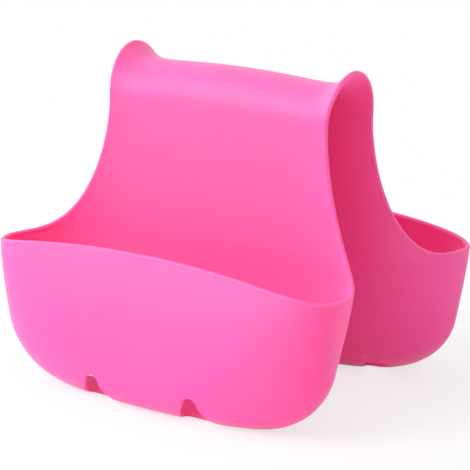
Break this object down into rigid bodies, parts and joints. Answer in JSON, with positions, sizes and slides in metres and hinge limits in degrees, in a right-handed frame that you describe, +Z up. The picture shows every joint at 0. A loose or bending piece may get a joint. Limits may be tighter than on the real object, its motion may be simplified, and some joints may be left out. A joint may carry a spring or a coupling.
{
  "type": "sink caddy",
  "caption": "Soft saddle caddy that hangs over a sink divider: an arched strap joins two deep rounded pockets with raised rims and drain notches.",
  "frame": {"origin": "on the surface that the two pocket floors stand on, below the middle of the arch", "axes": "+X along the sink divider, the long side; -Y the front pocket; +Z up"},
  "size_m": [0.2274, 0.1928, 0.1913],
  "materials": {
    "moulded_rubber": "soft satin, as moulded"
  },
  "bodies": {
    "crown": {"saddle_crown": "moulded_rubber"},
    "front": {"front_haunch": "moulded_rubber", "front_panel": "moulded_rubber", "front_pocket": "moulded_rubber"},
    "rear": {"rear_haunch": "moulded_rubber", "rear_panel": "moulded_rubber", "rear_pocket": "moulded_rubber"}
  },
  "joints": [
    {"name": "front_flex", "type": "hinge", "parent": "crown", "child": "front", "pos_m": [0, -0.0165, 0.1745], "axis": [-1, 0, 0], "range_deg": [-10, 45], "stiffness_Nm_per_rad": 0.4, "deforming": ["front_haunch"]},
    {"name": "rear_flex", "type": "hinge", "parent": "crown", "child": "rear", "pos_m": [0, 0.0165, 0.1745], "axis": [1, 0, 0], "range_deg": [-10, 45], "stiffness_Nm_per_rad": 0.4, "deforming": ["rear_haunch"]}
  ]
}
